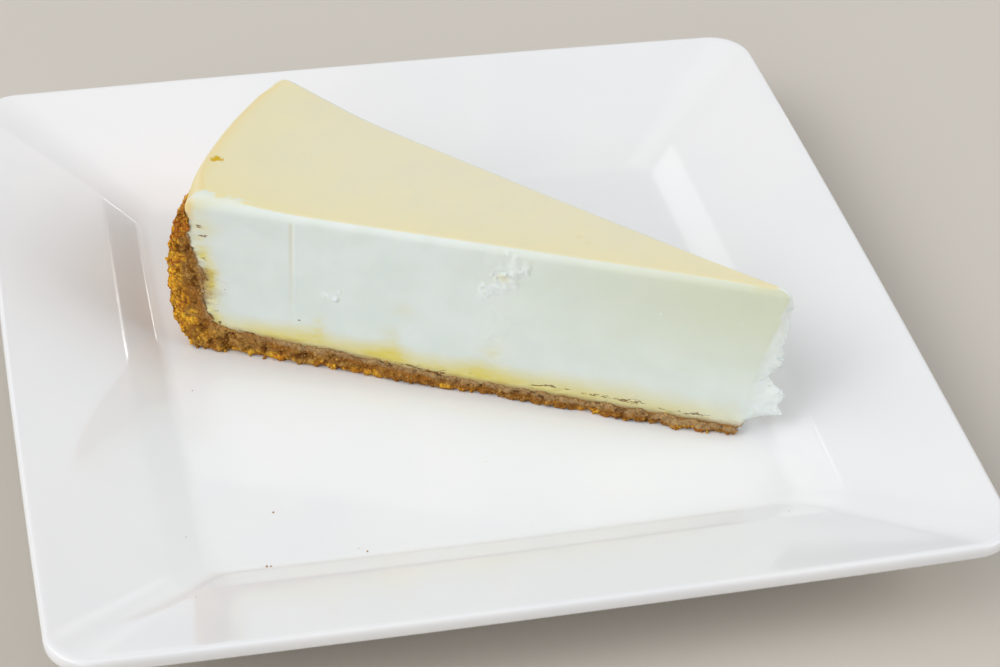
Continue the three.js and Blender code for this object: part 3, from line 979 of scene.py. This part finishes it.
def crumb_places(crust_grid, crust_masks, filling_grid, filling_masks):
    """Centres, half widths, and golden and tan shares of the crumbs: coarse ones on the crust's outside,
    fine ones on its near cut and along its seam with the filling, a few at its foot, and loose ones."""
    golden = crust_masks["golden"]
    _, side = crust_loop()
    near = np.broadcast_to(side[None] == 1, golden.shape)
    outside = golden * (crust_grid[..., 2] > 0.3) * np.where(near, 4, 1)
    coarse_at, coarse, coarse_size = scattered(crust_grid, outside, COARSE_CRUMBS, 0.16, 0.36, 0.55)
    coarse_gold = golden.ravel()[coarse_at] + rng.normal(0, 0.15, len(coarse))
    on_cut = near * (1 - 0.7 * golden)
    fine_at, fine, fine_size = scattered(crust_grid, on_cut, FINE_CRUMBS, 0.1, 0.24, 0.3)
    fine_tan = crust_masks["tan"].ravel()[fine_at] + rng.normal(0, 0.2, len(fine))

    beside = filling_masks["seam"] ** 4 * (1 + 2 * filling_masks["wallside"])
    beside = beside + 0.5 * filling_masks["dark"] * filling_masks["wallside"]
    _, seam, seam_size = scattered(filling_grid, beside, SEAM_CRUMBS, 0.08, 0.2, 0.5)

    run = rng.uniform(-3, 116, FOOT_CRUMBS)
    forward = listed(FOOT_SLUMP, run) + rng.normal(0, 0.2, len(run))
    foot_size = 0.15 + 0.35 * rng.uniform(0, 1, len(run)) ** 2
    foot = on_plate(slice_point(RUN_START - run, 1.0, foot_size * 0.6 - BASE_SETTLES, -forward))

    specks = np.array(PLATE_SPECKS)
    loose = np.stack([specks[:, 0], specks[:, 1], plate_height(specks[:, 0], specks[:, 1])], axis=-1)
    loose[:, 2] += 0.35 * specks[:, 2]
    centres = np.concatenate([coarse, fine, seam, foot, loose])
    sizes = np.concatenate([coarse_size, fine_size, seam_size, foot_size, 0.8 * specks[:, 2]])
    counts = len(fine), len(seam), len(foot), len(loose)
    gold = [coarse_gold] + [rng.uniform(0, most, count) for most, count in zip((0.3, 0.3, 0.6, 0.1), counts)]
    tan = [np.zeros(len(coarse)), fine_tan, rng.uniform(0.1, 0.9, len(seam)), np.zeros(len(foot))]
    tan.append(np.ones(len(loose)))
    return centres, sizes, np.concatenate(gold), np.concatenate(tan)


def cream_places(filling_grid, filling_masks):
    """Centres and half widths of the small bits of filling on the broken tip's rim and on the scuffs."""
    scuffed = (filling_masks["bright"] > 0.45) * (filling_masks["skin"] < 0.1)
    weight = filling_masks["edge"] + 0.06 * scuffed * (filling_masks["edge"] == 0)
    _, centres, sizes = scattered(filling_grid, weight, CREAM_BITS, 0.1, 0.26, 0.4)
    return centres, sizes


# Materials

class Nodes:
    """Short calls for the nodes of a tree: each makes a node, sets its values and links its inputs."""

    def __init__(self, tree):
        self.tree = tree

    def add(self, kind, links=None, **settings):
        """A node of this kind. links maps an input's name or number to a value or an output socket."""
        node = self.tree.nodes.new(kind)
        for key, value in settings.items():
            setattr(node, key, value)
        for key, value in (links or {}).items():
            if isinstance(value, bpy.types.NodeSocket):
                self.tree.links.new(value, node.inputs[key])
            else:
                node.inputs[key].default_value = value
        return node

    def mask(self, name):
        """A float attribute of the piece's points."""
        return self.add("ShaderNodeAttribute", attribute_name=name).outputs["Fac"]

    def place(self):
        """Object coordinates, in metres."""
        return self.add("ShaderNodeTexCoord").outputs["Object"]

    def noise(self, size, detail, place, roughness=0.5):
        """Noise from 0 to 1 whose lumps are about size metres across."""
        links = {"Vector": place, "Scale": 1 / size, "Detail": detail, "Roughness": roughness}
        return self.add("ShaderNodeTexNoise", links).outputs["Fac"]

    def math(self, operation, first, second=0.0, third=0.0):
        """A math node's value."""
        links = {0: first, 1: second, 2: third}
        return self.add("ShaderNodeMath", links, operation=operation).outputs[0]

    def span(self, value, low, high, to_low=0.0, to_high=1.0):
        """value mapped from low..high to to_low..to_high, and held at the ends."""
        links = {"Value": value, "From Min": low, "From Max": high, "To Min": to_low, "To Max": to_high}
        return self.add("ShaderNodeMapRange", links, interpolation_type="SMOOTHSTEP").outputs["Result"]

    def mix(self, share, first, second):
        """first and second mixed as colours."""
        node = self.add("ShaderNodeMix", {"Factor": share}, data_type="RGBA")
        for socket, value in zip((node.inputs[6], node.inputs[7]), (first, second)):
            if isinstance(value, bpy.types.NodeSocket):
                self.tree.links.new(value, socket)
            else:
                socket.default_value = value
        return node.outputs[2]

    def surface(self, inputs):
        """A principled shader with these inputs, as the surface of the tree's material."""
        shader = self.add("ShaderNodeBsdfPrincipled", inputs)
        self.add("ShaderNodeOutputMaterial", {"Surface": shader.outputs["BSDF"]})


def new_material(name):
    """An empty node material, and the short calls for its tree."""
    material = bpy.data.materials.new(name)
    material.use_nodes = True
    material.node_tree.nodes.clear()
    return material, Nodes(material.node_tree)


def linear(red, green, blue):
    """A colour given in display values of 0 to 255, as the linear values that a socket takes."""
    shares = np.array([red, green, blue]) / 255
    values = np.where(shares <= 0.04045, shares / 12.92, ((shares + 0.055) / 1.055) ** 2.4)
    return (*values.tolist(), 1.0)


def grain_group():
    """Pressed crumb, used by the crust and the loose crumbs. It takes masks for golden and tan crumb and for
    the painted shade in gaps, and a tone, and gives a crumb colour, a roughness and a height. Noise of three
    sizes mottles a brown and a golden colour. Where the fine noise raises the bump the crumb is painted
    paler as a highlight, where the noises lower it darker as shade, and the gaps between grains get painted
    shade."""
    group = bpy.data.node_groups.new("pressed crumb", "ShaderNodeTree")
    for name in ("Golden", "Tone", "Gap Shade", "Tan"):
        group.interface.new_socket(name, in_out="INPUT", socket_type="NodeSocketFloat")
    outputs = (("Color", "NodeSocketColor"), ("Roughness", "NodeSocketFloat"), ("Height", "NodeSocketFloat"))
    for name, kind in outputs:
        group.interface.new_socket(name, in_out="OUTPUT", socket_type=kind)
    nodes = Nodes(group)
    given = nodes.add("NodeGroupInput")
    place = nodes.place()
    fine = nodes.noise(0.0005, 3.0, place, 0.6)
    grit = nodes.noise(0.0013, 4.0, place, 0.7)
    broad = nodes.noise(0.007, 2.0, place)
    blend = nodes.math("MULTIPLY_ADD", given.outputs["Tone"], 0.6, nodes.math("MULTIPLY", grit, 0.5))
    brown = nodes.mix(nodes.span(blend, 0.25, 0.85), linear(136, 86, 22), linear(186, 140, 70))
    brown = nodes.mix(nodes.span(broad, 0.42, 0.62, 0.0, 0.7), brown, linear(160, 102, 28))
    brown = nodes.mix(nodes.math("MULTIPLY", given.outputs["Tan"], 0.85), brown, linear(182, 152, 108))
    gold = nodes.mix(nodes.span(blend, 0.2, 0.85), linear(176, 94, 2), linear(250, 194, 48))
    gold = nodes.mix(nodes.span(broad, 0.42, 0.68, 0.0, 0.5), gold, linear(212, 134, 16))
    colour = nodes.mix(given.outputs["Golden"], brown, gold)
    # Painted highlight: pale crumb where the fine noise is high, which is also where it raises the bump.
    colour = nodes.mix(nodes.span(fine, 0.58, 0.72, 0.0, 0.45), colour, linear(226, 194, 132))
    # Painted shade: dark brown where the fine noise is low and where the coarse noise is low, the hollows of
    # the bump.
    colour = nodes.mix(nodes.span(fine, 0.43, 0.3, 0.0, 0.5), colour, linear(104, 60, 16))
    colour = nodes.mix(nodes.span(grit, 0.42, 0.24, 0.0, 0.75), colour, linear(96, 54, 14))
    # Painted shade: the gaps between grains and the holes darkened to a deep brown, a little less where the
    # crumb is tan.
    gap_shown = nodes.span(given.outputs["Tan"], 0.0, 1.0, 0.75, 0.55)
    gap_shade = nodes.math("MULTIPLY", given.outputs["Gap Shade"], gap_shown)
    colour = nodes.mix(gap_shade, colour, linear(94, 50, 8))
    height = nodes.math("MULTIPLY_ADD", grit, 1.2, nodes.math("MULTIPLY", fine, 0.4))
    rough = nodes.mix(given.outputs["Golden"], (0.85, 0.85, 0.85, 1), (0.6, 0.6, 0.6, 1))
    nodes.add("NodeGroupOutput", {"Color": colour, "Roughness": rough, "Height": height})
    return group


def crumb_material(name, group, mask_names, bump):
    """Pressed or loose crumb: the grain group with this piece's masks, and the group's height as bump."""
    material, nodes = new_material(name)
    masks = {key: nodes.mask(mask) for key, mask in mask_names.items()}
    grain = nodes.add("ShaderNodeGroup", masks, node_tree=group)
    raised = nodes.add(
        "ShaderNodeBump", {"Height": grain.outputs["Height"], "Strength": bump, "Distance": 0.0003}
    )
    nodes.surface(
        {
            "Base Color": grain.outputs["Color"],
            "Roughness": grain.outputs["Roughness"],
            "Normal": raised.outputs["Normal"],
            "Specular IOR Level": 0.25,
        }
    )
    return material


TOP_SPOTS = [
    # x, y and half width on the slice's top, strength
    (-46.8, 23.2, 1.35, 1.0),
    (-46.3, 22.9, 0.9, 0.9),
    (23.3, -14.9, 0.8, 0.14),
    (24.4, -17.2, 0.6, 0.1),
    (-28.0, 23.9, 0.3, 0.14),
]


def top_spots(nodes, place, wobble):
    """Yellow spots on the slice's top: discs whose rims wander by noise."""
    total = 0.0
    for x, y, size, strength in TOP_SPOTS:
        middle = (x * MM * 0.8, y * MM, 0)
        flat = nodes.add("ShaderNodeVectorMath", {0: place, 1: (0.8, 1, 0)}, operation="MULTIPLY").outputs[0]
        away = nodes.add("ShaderNodeVectorMath", {0: flat, 1: middle}, operation="DISTANCE").outputs["Value"]
        ragged = nodes.math("MULTIPLY_ADD", wobble, 2 * size * MM, away)
        spot = nodes.span(ragged, 1.95 * size * MM, 1.55 * size * MM, 0.0, strength)
        total = nodes.math("MAXIMUM", spot, total)
    return total


def cream_material():
    """Set cream filling: cool white where it is cut, pale yellow skin on top that is warmer towards the near
    edge and the crust, golden at its outer edge, yellow stains, white scuffs and dark bits where the masks
    say, a tan smear where it meets the crust, and painted shade along the knife's line with a painted
    highlight on the ridge beside it."""
    material, nodes = new_material("baked cream")
    place = nodes.place()
    flat = nodes.add("ShaderNodeVectorMath", {0: place, 1: (1, 1, 2.8)}, operation="MULTIPLY").outputs[0]
    soft = nodes.noise(0.009, 2.0, place)
    fine = nodes.noise(0.0012, 4.0, place, 0.6)
    tiny = nodes.noise(0.0004, 3.0, place, 0.6)
    level = nodes.noise(0.0034, 4.0, flat, 0.6)
    flecks = nodes.noise(0.0012, 3.0, flat, 0.6)
    cut = nodes.mix(nodes.span(soft, 0.35, 0.65), linear(231, 238, 233), linear(226, 234, 228))
    cut = nodes.mix(nodes.math("MULTIPLY", nodes.mask("green"), 0.95), cut, linear(220, 226, 200))
    skin = nodes.mix(nodes.span(soft, 0.3, 0.7), linear(234, 228, 197), linear(231, 226, 199))
    skin = nodes.mix(nodes.mask("warm"), skin, linear(237, 226, 170))
    edge = nodes.span(nodes.math("MULTIPLY_ADD", fine, 0.5, nodes.mask("skin")), 0.45, 1.0)
    colour = nodes.mix(edge, cut, skin)
    stained = nodes.math("MULTIPLY", nodes.mask("stain"), nodes.span(level, 0.25, 0.75, 0.9, 1.16))
    colour = nodes.mix(nodes.math("MINIMUM", stained, 1.0), colour, linear(228, 212, 98))
    colour = nodes.mix(nodes.math("MULTIPLY", nodes.mask("gold"), 0.8), colour, linear(236, 206, 120))
    # Painted shade along the knife's line
    colour = nodes.mix(nodes.math("MULTIPLY", nodes.mask("line"), 0.6), colour, linear(220, 215, 186))
    # White scuffs and broken tip, and a painted highlight along the ridge beside the knife's line
    colour = nodes.mix(nodes.math("MULTIPLY", nodes.mask("bright"), 0.75), colour, linear(240, 246, 244))
    seam = nodes.mask("seam")
    smeared = nodes.math("MULTIPLY_ADD", level, 0.5, seam)
    colour = nodes.mix(nodes.span(smeared, 0.42, 1.1, 0.0, 0.85), colour, linear(184, 156, 110))
    specked = nodes.math("MULTIPLY_ADD", flecks, 1.6, nodes.mask("dark"))
    colour = nodes.mix(nodes.span(specked, 1.34, 1.54, 0.0, 0.85), colour, linear(116, 74, 22))
    colour = nodes.mix(top_spots(nodes, place, fine), colour, linear(212, 176, 14))
    crumble = nodes.math("ADD", nodes.mask("bright"), nodes.math("MULTIPLY", seam, 0.8))
    bumps = nodes.math("MULTIPLY", fine, nodes.span(crumble, 0.0, 1.0, 0.2, 1.6))
    bumps = nodes.math("MULTIPLY_ADD", tiny, 0.15, bumps)
    raised = nodes.add("ShaderNodeBump", {"Height": bumps, "Strength": 0.35, "Distance": 0.0003})
    rough = nodes.mix(edge, (0.5, 0.5, 0.5, 1), (0.38, 0.38, 0.38, 1))
    nodes.surface(
        {
            "Base Color": colour,
            "Roughness": rough,
            "Normal": raised.outputs["Normal"],
            "Specular IOR Level": 0.4,
            "Subsurface Weight": 0.22,
            "Subsurface Radius": (1.0, 0.8, 0.5),
            "Subsurface Scale": 0.0022,
        }
    )
    return material


def glaze_material():
    """White glazed ceramic: a cool white that varies very slightly, under a clear glossy coat with a faint
    unevenness."""
    material, nodes = new_material("white glaze")
    place = nodes.place()
    broad = nodes.noise(0.03, 2.0, place)
    fine = nodes.noise(0.0015, 2.0, place)
    colour = nodes.mix(nodes.span(broad, 0.3, 0.7), linear(243, 243, 244), linear(240, 241, 243))
    rough = nodes.span(fine, 0.3, 0.7, 0.06, 0.11)
    wave = nodes.add("ShaderNodeBump", {"Height": broad, "Strength": 0.12, "Distance": 0.001})
    nodes.surface(
        {
            "Base Color": colour,
            "Roughness": rough,
            "Normal": wave.outputs["Normal"],
            "Specular IOR Level": 0.5,
            "Coat Weight": 0.15,
            "Coat Roughness": 0.03,
        }
    )
    return material


# The stage

def add_floor():
    """A wide plain pale floor under the plate's foot."""
    reach = 3000
    corners = np.array([[-reach, -reach, 0], [reach, -reach, 0], [reach, reach, 0], [-reach, reach, 0]])
    mesh = bpy.data.meshes.new("floor")
    mesh.from_pydata(((corners - [0, 0, 0.2]) * MM).tolist(), [], [(0, 1, 2, 3)])
    material, nodes = new_material("pale floor")
    nodes.surface({"Base Color": linear(206, 200, 191), "Roughness": 0.8})
    mesh.materials.append(material)
    floor = add_object("floor", mesh)


SOFT_LIGHTS = [
    # azimuth from the back towards the right, elevation, narrowness, strength
    (0, 90, 10, 0.96),
    (0, 66, 24, 0.33),
    (-150, 14, 24, 2.63),
    (-60, 14, 24, 0.87),
    (0, 14, 24, 1.26),
    (90, 14, 24, 2.18),
    (120, 14, 24, 0.24),
    (-108, 40, 24, 4.55),
    (-144, 40, 24, 1.01),
    (-72, 40, 24, 2.41),
    (108, 40, 24, 3.82),
    (36, 40, 24, 0.37),
    (75, 50, 40, 0.44),
    (-10, 25, 80, 0.52),
    (-27, 32, 150, 2.64),
    (28, 25, 150, 1.01),
    (33.2, 21.8, 8000, 9),
    (-20.3, 41.8, 8000, 2.5),
]


def add_world():
    """Soft light from all round, as a sum of patches of the sky: each is its strength times the cosine of
    the angle from its middle, raised to its narrowness."""
    world = bpy.data.worlds.new("studio")
    world.use_nodes = True
    nodes = Nodes(world.node_tree)
    background = world.node_tree.nodes["Background"]
    view = nodes.add("ShaderNodeTexCoord").outputs["Generated"]
    total = 0.0
    for azimuth, elevation, narrowness, strength in SOFT_LIGHTS:
        turn, rise = math.radians(azimuth), math.radians(elevation)
        middle = (math.sin(turn) * math.cos(rise), math.cos(turn) * math.cos(rise), math.sin(rise))
        cosine = nodes.add("ShaderNodeVectorMath", {0: view, 1: middle}, operation="DOT_PRODUCT")
        patch = nodes.math("POWER", nodes.math("MAXIMUM", cosine.outputs["Value"], 0.0), narrowness)
        total = nodes.math("MULTIPLY_ADD", patch, strength, total)
    nodes.tree.links.new(total, background.inputs["Strength"])
    background.inputs["Color"].default_value = (1, 1, 1, 1)
    bpy.context.scene.world = world


def add_camera():
    """The photograph's camera: its place, and its direction as azimuth, elevation and roll."""
    camera = bpy.data.cameras.new("camera")
    camera.lens = 90.51
    camera.sensor_width = 36
    camera.clip_start = 0.01
    made = add_object("camera", camera)
    turn = Matrix.Rotation(math.radians(-15.02), 4, "Z")
    tilt = Matrix.Rotation(math.radians(90 - 38.52), 4, "X")
    roll = Matrix.Rotation(math.radians(3.378), 4, "Z")
    place = Matrix.Translation((-100.457 * MM, -416.777 * MM, 353.087 * MM))
    made.matrix_world = place @ turn @ tilt @ roll
    bpy.context.scene.camera = made


# The pieces

def build():
    """Makes every piece from its surface and material, and hides the solids that some of them replace."""
    group = grain_group()
    plate_grid = plate_surface()
    faces = grid_faces(*plate_grid.shape[:2])
    plate = piece("glazed_plate", plate_grid, faces, glaze_material())
    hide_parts("plate")

    crust_grid, crust_masks = crust_surface()
    crumb_masks = {"Golden": "golden", "Tone": "grain", "Gap Shade": "pit_shade", "Tan": "tan"}
    pressed = crumb_material("pressed biscuit", group, crumb_masks, 0.6)
    faces = grid_faces(*crust_grid.shape[:2])
    crust = piece("crumb_crust", on_plate(crust_grid), faces, pressed, crust_masks)
    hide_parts("crust")

    filling_grid, filling_masks = filling_surface()
    faces = grid_faces(*filling_grid.shape[:2])
    cream = cream_material()
    filling = piece("cream_filling", on_plate(filling_grid), faces, cream, filling_masks)
    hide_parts("filling")

    centres, sizes, gold, tan = crumb_places(crust_grid, crust_masks, filling_grid, filling_masks)
    points, faces, each = crumb_heap(centres, sizes)
    loose_masks = {"Golden": "golden", "Tone": "grain", "Tan": "tan"}
    loose = crumb_material("loose crumb", group, loose_masks, 0.5)
    tone = rng.uniform(0, 1, len(centres)) + lerp(0.12, -0.3, ramp(centres[:, 2], 22, 38))
    masks = {"golden": np.repeat(gold, each), "grain": np.repeat(tone, each), "tan": np.repeat(tan, each)}
    piece("crumbs", points, faces, loose, masks)

    centres, sizes = cream_places(filling_grid, filling_masks)
    points, faces, each = crumb_heap(centres, sizes)
    masks = {"bright": np.ones(len(centres) * each)}
    piece("cream_bits", points, faces, cream, masks)


build()
add_floor()
add_camera()
add_world()
bpy.context.scene.view_settings.view_transform = "Standard"
